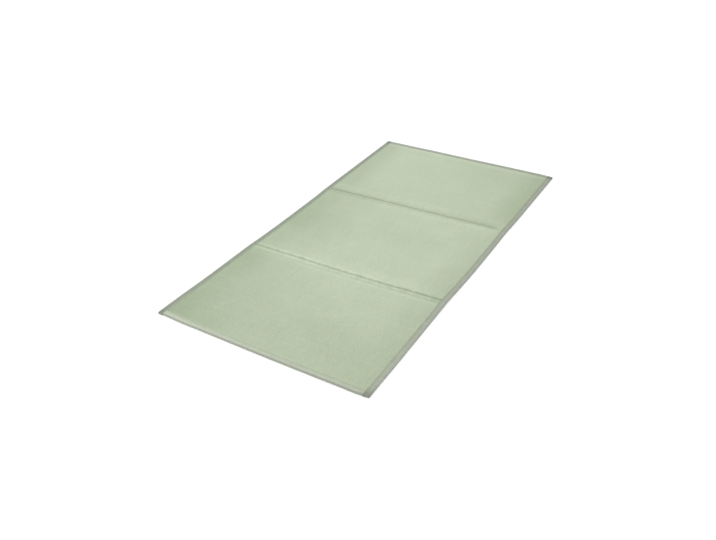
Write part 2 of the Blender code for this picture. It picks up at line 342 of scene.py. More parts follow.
# Tints of each strip along its sewn edge, and where it turns over the mat's edge, greyer and bluer
# there.
TapeTint = namedtuple("TapeTint", "sewn turned")
TAPE_TINTS = {
    "left": TapeTint((1.0, 1.0, 1.0, 1), (1.01, 1.0, 1.03, 1)),
    "right": TapeTint((1.0, 1.015, 0.94, 1), (1.03, 1.0, 1.06, 1)),
    "near": TapeTint((1.01, 1.0, 1.02, 1), (1.035, 0.985, 1.085, 1)),
    "far": TapeTint((1.0, 1.0, 1.01, 1), (1.05, 0.99, 1.10, 1)),
}

# Soft patches of the finishes: how many there are in a metre.
RUSH_PATCHES = 5.0
RUSH_STREAKS = 140.0
ALONG_STEMS = (0.25, 1.0, 1.0)  # the streaks are drawn out along the stems
RUSH_BANDS = 60.0
ALONG_RIBS = (1.0, 0.2, 1.0)  # and the bands along the ribs
CREASE_FLECKS = 34.0
CREASE_WANDERS = 55.0
TAPE_PATCHES = 30.0
TAPE_SMUDGES = 105.0
THREAD_PATCHES = 60.0
THREAD_TWISTS = 340.0


# ------------------------ curves and ripples
DRAWN = 64  # random values along each side of an undulation, before it starts again


def ease(t):
    """0 below 0, 1 above 1, and smooth between."""
    t = np.clip(t, 0.0, 1.0)
    return t * t * (3 - 2 * t)


def hump(distance, reach):
    """1 at no distance, falling smoothly to 0 at the reach."""
    return 0.5 * (1 + np.cos(pi * np.minimum(np.abs(distance) / reach, 1.0)))


def smooth(rows, place, column):
    """A column's values at places along the first column, on a smooth curve through the rows."""
    places = np.array([row[0] for row in rows], float)
    values = np.array([getattr(row, column) for row in rows], float)
    last = len(rows) - 1
    before = np.maximum(np.arange(last + 1) - 1, 0)
    after = np.minimum(np.arange(last + 1) + 1, last)
    slopes = (values[after] - values[before]) / (places[after] - places[before])
    place = np.clip(place, places[0], places[-1])
    right = np.clip(np.searchsorted(places, place, side="right"), 1, last)
    left = right - 1
    span = places[right] - places[left]
    t = (place - places[left]) / span
    start = values[left] * (1 + 2 * t) + slopes[left] * span * t
    end = values[right] * (3 - 2 * t) - slopes[right] * span * (1 - t)
    return start * (1 - t) ** 2 + end * t**2


def undulation(x, y, ripple, seed=0):
    """A smooth random surface as high and low as the ripple, with a new value at every step."""
    drawn = np.random.default_rng(ripple.draw + seed).uniform(-1, 1, (DRAWN, DRAWN))
    x, y = np.broadcast_arrays(np.asarray(x, float) / ripple.size, np.asarray(y, float) / ripple.size)
    column, row = np.floor(x).astype(int), np.floor(y).astype(int)
    across, along = ease(x - column), ease(y - row)

    def corner(i, j):
        turn = 7 * ((column + i) // DRAWN)  # so that a long strip doesn't repeat itself
        return drawn[(column + i) % DRAWN, (row + j + turn) % DRAWN]

    near = corner(0, 0) * (1 - across) + corner(1, 0) * across
    far = corner(0, 1) * (1 - across) + corner(1, 1) * across
    return ripple.height * (near * (1 - along) + far * along)


# ------------------------ laying the mat
def across_share(x):
    """Where points are across the mat, from 0 at its left side to 1 at its right one."""
    return np.clip(x / WIDTH + 0.5, 0.0, 1.0)


def along_share(y):
    """Where points are along the mat, from 0 at its near side to 1 at its far one."""
    return np.clip(y / LENGTH + 0.5, 0.0, 1.0)


def crease_shift(x, y):
    """How far the slant of the creases moves points along the mat."""
    u = across_share(x)
    near = (smooth(CREASE_LINES, u, "near") - 0.5) * LENGTH - NEAR_CREASE
    far = (smooth(CREASE_LINES, u, "far") - 0.5) * LENGTH - FAR_CREASE
    half = LENGTH / 2
    start, end = NEAR_CREASE + CREASE_HOLD, FAR_CREASE - CREASE_HOLD
    near_panel = near * ease((y + half) / (NEAR_CREASE - CREASE_HOLD + half))
    middle_panel = near + (far - near) * ease((y - start) / (end - start))
    far_panel = far * ease((half - y) / (half - FAR_CREASE - CREASE_HOLD))
    return np.where(y < start, near_panel, np.where(y < FAR_CREASE, middle_panel, far_panel))


def side_shift(low, high, t, place):
    """The outline's own shift, shared between two opposite sides."""
    out_low = -smooth(low, place, "out_mm") * MM
    out_high = smooth(high, place, "out_mm") * MM
    return out_low + (out_high - out_low) * t


def footprint_middle():
    """The middle of the uneven outline's box."""
    steps = np.arange(201) / 200
    left, right, near, far = (
        smooth(side, steps, "out_mm").max()
        for side in (LEFT_SIDE, RIGHT_SIDE, NEAR_SIDE, FAR_SIDE)
    )
    return (right - left) / 2 * MM, (far - near) / 2 * MM


MIDDLE_X, MIDDLE_Y = footprint_middle()


def lay(points):
    """Where points of the true rectangular mat lie on the floor."""
    x, y, z = points.T
    u, v = across_share(x), along_share(y)
    rise = sum(
        lift.rise_mm
        * hump(u - lift.across, lift.reach_across)
        * hump(v - lift.along, lift.reach_along)
        for lift in LIFTS
    )
    return np.column_stack(
        (
            x + side_shift(LEFT_SIDE, RIGHT_SIDE, u, v) - MIDDLE_X,
            y + crease_shift(x, y) + side_shift(NEAR_SIDE, FAR_SIDE, v, u) - MIDDLE_Y,
            z + MM * rise,
        )
    )


# ------------------------ the mat's section
def fold_rise(x, y):
    """Rise of the face over a crease, as uneven as a fold that was sewn and pressed by hand."""
    u = across_share(x)
    near = smooth(FOLD_SECTION, (y - NEAR_CREASE) / MM, "near_mm")
    far = smooth(FOLD_SECTION, (y - FAR_CREASE) / MM, "far_mm")
    puckered = np.where(near > 0, near * (1 + undulation(x, y, FOLD_PUCKERS)), near)
    uneven = 1 + undulation(x, 0.0, FOLD_DEPTHS)
    near_depth = smooth(CREASE_DEPTH, u, "near") * uneven
    far_depth = smooth(CREASE_DEPTH, u, "far") * uneven
    return MM * (puckered * near_depth + far * far_depth)


def pinch(side, y):
    """How a crease carries on under the long binding on this side of the mat (-1 or 1)."""
    return PINCH * fold_rise(side * WIDTH / 2, y)


def rounded(t):
    """Share of the thickness at a place on the rounded edge: t is 0 at the edge, 1 inside it."""
    t = np.clip(t, 0.0, 1.0)
    return NOSE_END + (1 - NOSE_END) * np.sqrt(1 - (1 - t) ** 2)


def weave_place(x, y):
    """Where a point is across the weave, whose ribs drift a little from side to side."""
    return x + undulation(x, y, RIB_DRIFT)


def rib_relief(x, y):
    """How the weave rises on a rib and dips between two ribs, some dips deeper than others."""
    ribs = weave_place(x, y) / RIB + RIB_COUNT / 2
    from_dip = np.abs(ribs - np.round(ribs))
    step = np.round(ribs) * RIB_TIGHTNESS.size
    tightness = 1 + undulation(step, y / RIB_STRETCH, RIB_TIGHTNESS)
    dip = RIB_DIP * tightness * np.exp(-((from_dip / RIB_VALLEY) ** 2))
    return RIB_CROWN * np.sin(pi * from_dip) - dip


def settled(x, y):
    """How the padded panels undulate."""
    return undulation(x, y, PANEL_SWELLS) + undulation(x, y, PANEL_RIPPLES)


def rush_section(x, y):
    """Height of the rush body's underside and face, weave and all, at points of the rectangle."""
    from_long = WIDTH / 2 - np.abs(x)
    from_short = LENGTH / 2 - np.abs(y)
    inset = np.minimum(from_long, from_short)
    full = ease((inset - PRESSED_FROM) / (PRESSED_REACH - PRESSED_FROM))
    weave = rib_relief(x, y)
    seam = hump(np.minimum(np.abs(y - NEAR_CREASE), np.abs(y - FAR_CREASE)), CREASE_SEAM_REACH)
    bottom = MAT_INSET * (1 - full) - weave * full + 2 * SEAM_PULL * seam * full
    pressed_top = MAT_INSET + EDGE_THICKNESS + pinch(np.where(x > 0, 1.0, -1.0), y)
    field_top = FIELD_THICKNESS + fold_rise(x, y) + settled(x, y)
    top = pressed_top + (field_top - pressed_top) * full
    top += weave * (RIB_UNDER_BINDING + (1 - RIB_UNDER_BINDING) * full)
    share = rounded((from_long - MAT_INSET) / NOSE) * rounded((from_short - MAT_INSET) / NOSE)
    middle, half = (top + bottom) / 2, (top - bottom) / 2 * share
    return np.maximum(middle - half, 0.0), middle + half


def painted_falloff(x, y):
    """The painted light and shade over the face, eased between the table's places, with a band of
    painted highlight along the far binding.
    """
    u, v = across_share(x), along_share(y)
    tone = np.zeros_like(x)
    rows = [row.along for row in FACE_LIGHT_FALLOFF]
    row_at = np.interp(v, rows, np.arange(len(rows)))
    column_at = np.interp(u, FACE_LIGHT_FALLOFF_ACROSS, np.arange(len(FACE_LIGHT_FALLOFF_ACROSS)))
    for i, row in enumerate(FACE_LIGHT_FALLOFF):
        for j, percent in enumerate(row.percent):
            share = ease(1 - np.abs(row_at - i)) * ease(1 - np.abs(column_at - j))
            tone += share * percent / 100
    # Painted highlight in a band along the far binding.
    return tone * (1 + FAR_HIGHLIGHT_TONE * hump(LENGTH / 2 - y - FAR_HIGHLIGHT_INSET, FAR_HIGHLIGHT_REACH))


# ------------------------ meshes
def finished(name, points, faces, flat, material):
    """An object made of points of the rectangle, laid, with its flat map and its material."""
    mesh = bpy.data.meshes.new(name)
    mesh.from_pydata(lay(points), [], faces)
    corners = np.empty(len(mesh.loops), dtype=np.int32)
    mesh.loops.foreach_get("vertex_index", corners)
    layer = mesh.uv_layers.new(name=FLAT_MAP)
    layer.data.foreach_set("uv", flat[corners].astype(np.float32).ravel())
    mesh.materials.append(material)
    mesh.shade_smooth()
    piece = bpy.data.objects.new(name, mesh)
    bpy.context.scene.collection.objects.link(piece)
    return piece


def grid_faces(rows, columns, start=0):
    """The quads of a grid whose points run column by column within each row."""
    corner = start + (np.arange(rows - 1)[:, None] * columns + np.arange(columns - 1)).ravel()
    return np.column_stack((corner, corner + 1, corner + columns + 1, corner + columns))


# ------------------------ the rush body
def weave_columns():
    """Places across the mat: the ribs' own points, and a few on the rounded edges."""
    starts = (np.arange(RIB_COUNT) - RIB_COUNT / 2) * RIB
    ribs = [starts + part * RIB for part in RIB_PLACES]
    edge = WIDTH / 2 - MAT_INSET - NOSE * np.array(ROUND_EDGE)
    return np.sort(np.concatenate(ribs + [[RIB_COUNT / 2 * RIB], edge, -edge]))


def weave_rows():
    """Places along the mat, close together over the creases and by the bindings."""
    edge = LENGTH / 2 - MAT_INSET - NOSE * np.array(ROUND_EDGE)
    swelling = LENGTH / 2 - np.linspace(PRESSED_FROM, PRESSED_REACH, 5)
    places = [edge, -edge, swelling, -swelling]
    stops = [-swelling.min()]
    for crease in (NEAR_CREASE, FAR_CREASE):
        low = crease + FOLD_SECTION[0].offset_mm * MM
        high = crease + FOLD_SECTION[-1].offset_mm * MM
        places.append(np.arange(low, high + CREASE_ROW_STEP / 2, CREASE_ROW_STEP))
        stops += [low, high]
    stops.append(swelling.min())
    for low, high in zip(stops[::2], stops[1::2]):
        places.append(np.linspace(low, high, round((high - low) / ROW_STEP) + 1)[1:-1])
    return np.sort(np.concatenate(places))


def sparse(places, keep=()):
    """The numbers of every third place, the last one, and those nearest to the ones to keep."""
    picked = set(range(0, len(places), SPARSE)) | {len(places) - 1}
    picked |= {int(np.abs(places - place).argmin()) for place in keep}
    return sorted(picked)


def edge_wall(picked, face_point, back_point, outward):
    """Faces that close one side of the body, from its close-set face to its sparse underside."""
    walls = []
    for k, (low, high) in enumerate(zip(picked[:-1], picked[1:])):
        wall = [face_point(i) for i in range(low, high + 1)] + [back_point(k + 1), back_point(k)]
        walls.append(wall if outward else wall[::-1])
    return walls


def woven_rush(material):
    """The rush body: its ribbed face, its underside and the edge inside the binding."""
    columns, rows = weave_columns(), weave_rows()
    few_columns, few_rows = sparse(columns), sparse(rows, (NEAR_CREASE, FAR_CREASE))
    across, few = len(columns), len(few_columns)
    x, y = (part.ravel() for part in np.meshgrid(columns, rows))
    face = np.column_stack((x, y, rush_section(x, y)[1]))
    x, y = (part.ravel() for part in np.meshgrid(columns[few_columns], rows[few_rows]))
    back = np.column_stack((x, y, rush_section(x, y)[0]))
    points = np.concatenate((face, back))
    start = len(face)
    last_row, last_few = start - across, len(points) - few

    faces = grid_faces(len(rows), across).tolist()
    faces += grid_faces(len(few_rows), few, start)[:, ::-1].tolist()
    faces += edge_wall(few_columns, lambda i: i, lambda k: start + k, False)
    faces += edge_wall(few_columns, lambda i: last_row + i, lambda k: last_few + k, True)
    faces += edge_wall(few_rows, lambda i: i * across, lambda k: start + k * few, True)
    faces += edge_wall(
        few_rows, lambda i: (i + 1) * across - 1, lambda k: start + (k + 1) * few - 1, False
    )

    flat = np.column_stack((weave_place(points[:, 0], points[:, 1]), points[:, 1]))
    flat[start:, 0] += UNDERSIDE_START
    piece = finished("rush_weave", points, faces, flat, material)
    # Painted light and shade over the face, stored at each point.
    light_falloff = piece.data.attributes.new(FALLOFF_MAP, "FLOAT", "POINT")
    light_falloff.data.foreach_set("value", painted_falloff(points[:, 0], points[:, 1]).astype(np.float32))
    piece.data.set_sharp_from_angle(angle=radians(70))
    return piece


# ------------------------ the binding strips
STRIP_INSETS_MM = (22.5, 22.2, 21.3, 20.6, 20.0, 19.4, 18.4, 17.0, 15.6, 12.5, 9.5, 6.5)
NOSE_PLACES = (1.0, 0.72, 0.48, 0.28, 0.13, 0.04, 0.0)
CLOSED_END = (0.0, 0.06, 0.18, 0.36, 0.62, 1.0)  # rows on a closed end, from the very end in


def strip_face(inset, along, seed):
    """Height of the strip's inner side over its resting place on the mat's face."""
    hem = HEM_RISE * ease((inset - HEM_INSET) / HEM_STEP)
    turned_down = (TURN_DOWN + hem) * ease((inset - BINDING_REACH + TURN_REACH) / TURN_REACH)
    hole = 0.5 * (1 + np.cos(2 * pi * along / BINDING_STITCH.pitch))
    drawn_in = SEAM_PULL * (0.4 + 0.6 * hole) * hump(inset - SEAM_INSET, SEAM_REACH)
    small = undulation(along, 0.0, TAPE_PUCKERS, seed)
    large = undulation(along + 0.8 * inset, 0.0, TAPE_SWELLS, seed)
    puckers = (small + large) * hump(inset - TAPE_MIDDLE, TAPE_MIDDLE)
    return hem - turned_down - drawn_in + puckers


def strip_section(along, dip, closed_at, seed):
    """The strip's inner side as rows of (inset, along, height), from its sewn edge on the mat's
    face, round the nose, to its sewn edge underneath. Its ends are rounded if they are closed."""
    nose = CLOTH + (NOSE + GAP) * np.array(NOSE_PLACES)
    insets = np.concatenate((np.array(STRIP_INSETS_MM) * MM, nose))
    shares = np.concatenate((np.ones(len(STRIP_INSETS_MM)), rounded(np.array(NOSE_PLACES))))
    inset, place = np.meshgrid(insets, along)
    resting = MAT_INSET + EDGE_THICKNESS + GAP + dip[:, None]
    high = resting + strip_face(inset, place, seed)
    low = CLOTH + SEAM_PULL * hump(inset - SEAM_INSET, SEAM_REACH)
    half = (high - low) / 2 * shares
    if closed_at:
        half *= rounded((closed_at - np.abs(place)) / (NOSE + GAP))
    middle = (high + low) / 2
    wavy = inset + undulation(place, 0.0, TAPE_WAVE, seed) * ease(inset / SEAM_INSET)
    upper = np.stack((wavy, place, middle + half), axis=-1)
    lower = np.stack((wavy, place, middle - half), axis=-1)[:, ::-1]
    return np.concatenate((upper, lower), axis=1)


def closed_end_faces(rows, columns):
    """The faces that fold both ends of a strip shut, from its upper layer to its lower one."""
    faces = []
    last = (rows - 1) * columns
    for i in range(columns // 2 - 1):
        other = columns - 1 - i
        faces.append([i + 1, i, other, other - 1])
        faces.append([last + i, last + i + 1, last + other - 1, last + other])
    return faces


def folded_strip(name, section, on_mat, closed, material):
    """A strip's object: the inner side as a grid, thickened outwards to the binding cloth."""
    rows, columns = section.shape[:2]
    points = on_mat(section.reshape(-1, 3))
    faces = grid_faces(rows, columns).tolist()
    if closed:
        faces += closed_end_faces(rows, columns)
    a, b, c = (points[i] for i in faces[0][:3])
    if np.cross(b - a, c - b)[2] < 0:  # the upper layer faces up
        faces = [face[::-1] for face in faces]
    steps = np.diff(section[rows // 2][:, [0, 2]], axis=0)
    girth = np.concatenate(([0.0], np.cumsum(np.hypot(steps[:, 0], steps[:, 1]))))
    flat = np.column_stack((np.tile(girth, rows), section[:, :, 1].ravel()))
    piece = finished(name, points, faces, flat, material)
    cloth = piece.modifiers.new("cloth", "SOLIDIFY")
    cloth.thickness = CLOTH
    cloth.offset = 1.0
    cloth.use_even_offset = True
    bpy.ops.object.select_all(action="DESELECT")
    bpy.context.view_layer.objects.active = piece
    bpy.ops.object.modifier_apply(modifier=cloth.name)
    piece.data.set_sharp_from_angle(angle=radians(50))
    return piece


def on_long_edge(side):
    """How (inset, along, height) on a long strip becomes a point of the rectangle."""
    return lambda part: np.column_stack((side * (WIDTH / 2 - part[:, 0]), part[:, 1], part[:, 2]))


def on_short_edge(side):
    """The same on a short strip."""
    return lambda part: np.column_stack((part[:, 1], side * (LENGTH / 2 - part[:, 0]), part[:, 2]))


def evenly(end, step):
    """Places from one end to the other, a whole number of equal steps apart."""
    return np.linspace(-end, end, 2 * round(end / step) + 1)


def long_binding(name, side, seed, material):
    """The strip on a long edge (side -1 left, 1 right), past both corners and folded shut."""
    end = LENGTH / 2 + ENDS_STAND_OUT - CLOTH
    rounding = (NOSE + GAP) * np.array(CLOSED_END)
    body = evenly(end - rounding[-1] - 1 * MM, BINDING_STITCH.pitch / 2)
    along = np.concatenate((rounding - end, body, (end - rounding)[::-1]))
    section = strip_section(along, pinch(side, along), end, seed)
    return folded_strip(name, section, on_long_edge(side), True, material)


def short_binding(name, side, seed, material):
    """The strip on a short edge (side -1 near, 1 far), between the two long ones."""
    along = evenly(WIDTH / 2 - BINDING_REACH - GAP, BINDING_STITCH.pitch / 2)
    section = strip_section(along, np.zeros(len(along)), None, seed)
    return folded_strip(name, section, on_short_edge(side), False, material)


# ------------------------ sewing
def stitch_row(stitch, reach, seed):
    """A row of stitches along a line: (along, aside, height) of each point, and the faces.
    Each one is a short length of thread that dips into the cloth at both ends."""
    rng = np.random.default_rng(seed)
    centres = np.arange(-reach + stitch.pitch / 2, reach - stitch.pitch / 4, stitch.pitch)
    count, rings = len(centres), len(STITCH_RINGS)
    length = stitch.length / 2 * rng.uniform(*STITCH_LENGTHS, count)
    lean = rng.normal(0.0, STITCH_LEAN, count)
    aside = rng.normal(0.0, STITCH_ASIDE, count)
    ends, girths, heights = np.array(STITCH_RINGS).T
    turn = 2 * pi * np.arange(STITCH_SIDES) / STITCH_SIDES
    radius = stitch.thread / 2
    around = np.stack((np.cos(turn), np.sin(turn)))
    along = centres[:, None, None] + length[:, None, None] * ends[:, None]
    along = np.broadcast_to(along, (count, rings, STITCH_SIDES))
    across = aside[:, None, None] + (lean * length)[:, None, None] * ends[:, None]
    across = across + radius * girths[:, None] * around[0]
    height = radius * (heights[:, None] + girths[:, None] * around[1])
    height = np.broadcast_to(height, (count, rings, STITCH_SIDES))
    points = np.stack((along, across, height), axis=-1).reshape(-1, 3)

    one = []
    for ring in range(rings - 1):
        for i in range(STITCH_SIDES):
            low, next_low = ring * STITCH_SIDES + i, ring * STITCH_SIDES + (i + 1) % STITCH_SIDES
            one.append([low, next_low, next_low + STITCH_SIDES, low + STITCH_SIDES])
    first_end = list(range(STITCH_SIDES))[::-1]
    last_end = [(rings - 1) * STITCH_SIDES + i for i in range(STITCH_SIDES)]
    one += [first_end, last_end]
    size = rings * STITCH_SIDES
    faces = [[k * size + i for i in face] for k in range(count) for face in one]
    return points, faces


def sewing(name, faces_at, stitch, reach, seed, material):
    """A seam's two rows of stitches, over and under the mat, as one object. faces_at() gives the
    points of the cloth's two outer surfaces at (along, aside)."""
    points, faces = stitch_row(stitch, reach, seed)
    over, under = faces_at(points[:, 0], points[:, 1])
    over[:, 2] += points[:, 2]
    under[:, 2] = np.maximum(under[:, 2] - points[:, 2], 0.0)
    second = [[i + len(points) for i in face[::-1]] for face in faces]
    flat = np.tile(points[:, :2], (2, 1))
    return finished(name, np.concatenate((over, under)), faces + second, flat, material)


def binding_seam(name, long, side, strip_seed, material):
    """The stitches that hold a binding strip, along its sewn edge."""
    on_mat = on_long_edge(side) if long else on_short_edge(side)
    end = LENGTH / 2 - SEAM_ENDS if long else WIDTH / 2 - BINDING_REACH
    turned = side if long else -side  # so that no stitch is mirrored

    def faces_at(along, aside):
        inset = np.full_like(along, SEAM_INSET)
        sewn_at = inset + turned * aside
        high = MAT_INSET + EDGE_THICKNESS + GAP + CLOTH + strip_face(inset, along, strip_seed)
        if long:
            high = high + pinch(side, along)
        over = on_mat(np.column_stack((sewn_at, along, high)))
        under = on_mat(np.column_stack((sewn_at, along, np.full_like(along, SEAM_PULL))))
        return over, under

    reach = BINDING_STITCH.pitch * int(end / BINDING_STITCH.pitch)
    return sewing(name, faces_at, BINDING_STITCH, reach, strip_seed + 20, material)


def crease_seam(name, crease, seed, material):
    """The stitches through the mat along the bottom of a crease."""

    def faces_at(along, aside):
        y = np.full_like(along, crease)
        bottom, top = rush_section(along, y)
        over = np.column_stack((along, y + aside, top))
        under = np.column_stack((along, y + aside, bottom))
        return over, under

    reach = WIDTH / 2 - BINDING_REACH - CREASE_STITCH.pitch / 2
    return sewing(name, faces_at, CREASE_STITCH, reach, seed, material)


# ------------------------ shader helpers
MIX_FACTOR, MIX_FIRST, MIX_SECOND = 0, 6, 7  # the places of a Mix node's inputs for colours
MIX_RESULT = 2  # and of its output


def wire_inputs(tree, node, inputs):
    """Sets a node's inputs to values, or wires them to other outputs."""
    for name, value in inputs.items():
        if isinstance(value, bpy.types.NodeSocket):
            tree.links.new(value, node.inputs[name])
        else:
            node.inputs[name].default_value = value


def wired(tree, kind, inputs, **settings):
    """A node with its settings and its inputs."""
    node = tree.nodes.new(kind)
    for name, value in settings.items():
        setattr(node, name, value)
    wire_inputs(tree, node, inputs)
    return node


def sums(tree, operation, *values):
    """The output of a Math node on numbers or other outputs."""
    inputs = dict(enumerate(values))
    return wired(tree, "ShaderNodeMath", inputs, operation=operation).outputs[0]


def product(tree, first, *others):
    """The product of numbers or other outputs."""
    for other in others:
        first = sums(tree, "MULTIPLY", first, other)
    return first


def off_middle(tree, place):
    """The square of how far a place is from the middle between two whole numbers."""
    distance = sums(tree, "SUBTRACT", sums(tree, "FRACT", place), 0.5)
    return product(tree, distance, distance)


def ranged(tree, value, start, end, low=0.0, high=1.0, **settings):
    """Turns start to end into low to high, and stays there past both."""
    inputs = {"Value": value, "From Min": start, "From Max": end, "To Min": low, "To Max": high}
    return wired(tree, "ShaderNodeMapRange", inputs, **settings).outputs["Result"]


def between(tree, value, low, high):
    """Turns 0 to 1 into low to high."""
    return ranged(tree, value, 0.0, 1.0, low, high)


def mixed(tree, factor, first, second, blend="MIX"):
    """A mix of two colours."""
    inputs = {MIX_FACTOR: factor, MIX_FIRST: first, MIX_SECOND: second}
    mix = wired(tree, "ShaderNodeMix", inputs, data_type="RGBA", blend_type=blend)
    return mix.outputs[MIX_RESULT]


def multiplied(tree, color, tone):
    """A colour times another colour or a tone."""
    return mixed(tree, 1.0, color, tone, "MULTIPLY")


def parts_of(tree, place):
    """A place's X, Y and Z outputs."""
    return wired(tree, "ShaderNodeSeparateXYZ", {"Vector": place}).outputs


def numbered(tree, **parts):
    """A random tone from 0 to 1 for each set of whole numbers."""
    number = wired(tree, "ShaderNodeCombineXYZ", parts).outputs[0]
    return wired(tree, "ShaderNodeTexWhiteNoise", {"Vector": number}).outputs["Value"]


def stretched(tree, place, scale):
    """A place whose parts are scaled, which draws a pattern out along the smaller ones."""
    return wired(tree, "ShaderNodeMapping", {"Vector": place, "Scale": scale}).outputs["Vector"]


def tone_ramp(tree, place, rows, column):
    """The tones of a table, laid over a place that runs between the table's ends. A ramp holds
    no more than 1, so it holds them as shares of the lightest one."""
    lightest = max(getattr(row, column) for row in rows)
    places = [row[0] for row in rows]
    share = ranged(tree, place, places[0] * MM, places[-1] * MM)
    ramp = wired(tree, "ShaderNodeValToRGB", {"Fac": share})
    stops = ramp.color_ramp.elements
    ramp.color_ramp.interpolation = "EASE"
    for _ in rows[2:]:
        stops.new(0.5)
    for stop, row in zip(stops, rows):
        stop.position = (row[0] - places[0]) / (places[-1] - places[0])
        stop.color = (*[getattr(row, column) / lightest] * 3, 1)
    return product(tree, ramp.outputs["Color"], lightest)


def effect_group(name, inputs, outputs):
    """An empty shader node group with named float or vector inputs and outputs, with its
    inputs' sockets and the node that its results are wired to."""
    group = bpy.data.node_groups.new(name, "ShaderNodeTree")
    for sockets, way in ((inputs, "INPUT"), (outputs, "OUTPUT")):
        for socket, kind in sockets.items():
            group.interface.new_socket(name=socket, in_out=way, socket_type=f"NodeSocket{kind}")
    into, out = group.nodes.new("NodeGroupInput"), group.nodes.new("NodeGroupOutput")
    return group, into.outputs, out


def used(tree, group, inputs):
    """A shared effect placed in a material with its own values."""
    return wired(tree, "ShaderNodeGroup", inputs, node_tree=group).outputs


def patchy(tree, patches, place, density):
    """The shared effect of soft patches, with so many for each metre."""
    return used(tree, patches, {"Place": place, "Patches per Metre": density})["Tone"]


def started(name):
    """A material with its tree and the piece's place on its flat cut."""
    material = bpy.data.materials.new(name)
    material.use_nodes = True
    tree = material.node_tree
    place = wired(tree, "ShaderNodeUVMap", {}, uv_map=FLAT_MAP).outputs["UV"]
    return material, tree, place


def painted(tree, color, roughness, height, strength, distance):
    """Gives a material's shader its colour, its roughness and its relief."""
    inputs = {"Strength": strength, "Distance": distance, "Height": height}
    relief = wired(tree, "ShaderNodeBump", inputs).outputs["Normal"]
    surface = {"Base Color": color, "Roughness": roughness, "Normal": relief}
    wire_inputs(tree, tree.nodes["Principled BSDF"], surface)


# ------------------------ shared effects
def uneven_tone():
    """Soft patches of one size with smaller ones in them, from 0 to 1."""
    group, into, out = effect_group(
        "uneven_tone", {"Place": "Vector", "Patches per Metre": "Float"}, {"Tone": "Float"}
    )
    look = {"Detail": 3.0, "Roughness": 0.55}
    place = {"Vector": into["Place"], "Scale": into["Patches per Metre"]}
    noise = wired(group, "ShaderNodeTexNoise", place | look).outputs["Fac"]
    wire_inputs(group, out, {"Tone": ranged(group, noise, 0.3, 0.7)})
    return group


def crossed_threads():
    """A plain weave: threads that pass over and under each other, with their own tones."""
    group, into, out = effect_group(
        "crossed_threads",
        {"Place": "Vector", "Thread": "Float"},
        {"Height": "Float", "Thread Tone": "Float"},
    )
    parts = parts_of(group, into["Place"])
    across = sums(group, "DIVIDE", parts["X"], into["Thread"])
    along = sums(group, "DIVIDE", parts["Y"], into["Thread"])
    numbers = sums(group, "FLOOR", across), sums(group, "FLOOR", along)
    over = sums(group, "PINGPONG", sums(group, "ADD", *numbers), 1.0)
    warp, weft = (sums(group, "SUBTRACT", 1.0, off_middle(group, way)) for way in (across, along))
    warp_over = product(group, over, warp)
    weft_over = product(group, sums(group, "SUBTRACT", 1.0, over), weft)
    height = sums(group, "ADD", warp_over, weft_over)
    tone = numbered(group, X=numbers[0], Y=over, Z=numbers[1])
    wire_inputs(group, out, {"Height": height, "Thread Tone": tone})
    return group


def laid_stems():
    """Rush stems laid across the mat: each one floats over every second rib, so that the stems
    of neighbouring ribs are half a stem apart."""
    group, into, out = effect_group(
        "laid_stems",
        {"Place": "Vector", "Rib": "Float", "Stem": "Float"},
        {"Height": "Float", "Dip": "Float", "Stem Tone": "Float", "Float Tone": "Float"},
    )
    parts = parts_of(group, into["Place"])
    ribs = sums(group, "ADD", sums(group, "DIVIDE", parts["X"], into["Rib"]), RIB_COUNT / 2)
    rib_number = sums(group, "FLOOR", ribs)
    turn = sums(group, "PINGPONG", rib_number, 1.0)
    stems = sums(group, "DIVIDE", parts["Y"], into["Stem"])
    stems = sums(group, "ADD", stems, product(group, turn, 0.5))
    stem_number = sums(group, "FLOOR", stems)

    fall = product(group, off_middle(group, stems), 4.0)  # to nothing between two stems
    height = sums(group, "SUBTRACT", 1.0, fall)
    from_dip = sums(group, "PINGPONG", ribs, 0.5)
    dip = ranged(group, from_dip, 0.0, DIP_SHADE, 1.0, 0.0, interpolation_type="SMOOTHSTEP")
    stem_tone = numbered(group, X=stem_number, Y=turn)
    apart = 0.5  # so that the floats don't draw the stems' own tones
    float_tone = numbered(group, X=stem_number, Y=rib_number, Z=apart)
    tones = {"Stem Tone": stem_tone, "Float Tone": float_tone}
    wire_inputs(group, out, {"Height": height, "Dip": dip} | tones)
    return group


# ------------------------ materials
def crease_light_and_shade(tree, place, patches):
    """Painted light and shade on the two creases: painted highlights on the folds and painted shade
    in the bottom, in stripes whose edges wander a little."""
    parts = parts_of(tree, place)
    across = ranged(tree, parts["X"], -WIDTH / 2, WIDTH / 2)
    flecks = patchy(tree, patches, place, CREASE_FLECKS)
    mingled = sums(tree, "ADD", across, between(tree, flecks, -CREASE_MINGLING, CREASE_MINGLING))
    wander = patchy(tree, patches, place, CREASE_WANDERS)
    wander = between(tree, wander, -CREASE_WANDERING, CREASE_WANDERING)
    wandering = sums(tree, "ADD", parts["Y"], wander)
    tones = []
    for crease, name in ((NEAR_CREASE, "near"), (FAR_CREASE, "far")):
        offset = sums(tree, "SUBTRACT", wandering, crease)
        left = tone_ramp(tree, offset, CREASE_LIGHT_AND_SHADE, f"{name}_left")
        right = tone_ramp(tree, offset, CREASE_LIGHT_AND_SHADE, f"{name}_right")
        tones.append(between(tree, mingled, left, right))
    near, far = tones
    far = ranged(tree, across, *FAR_CREASE_FADES, far, FAR_CREASE_END_TONE)
    return product(tree, near, far)


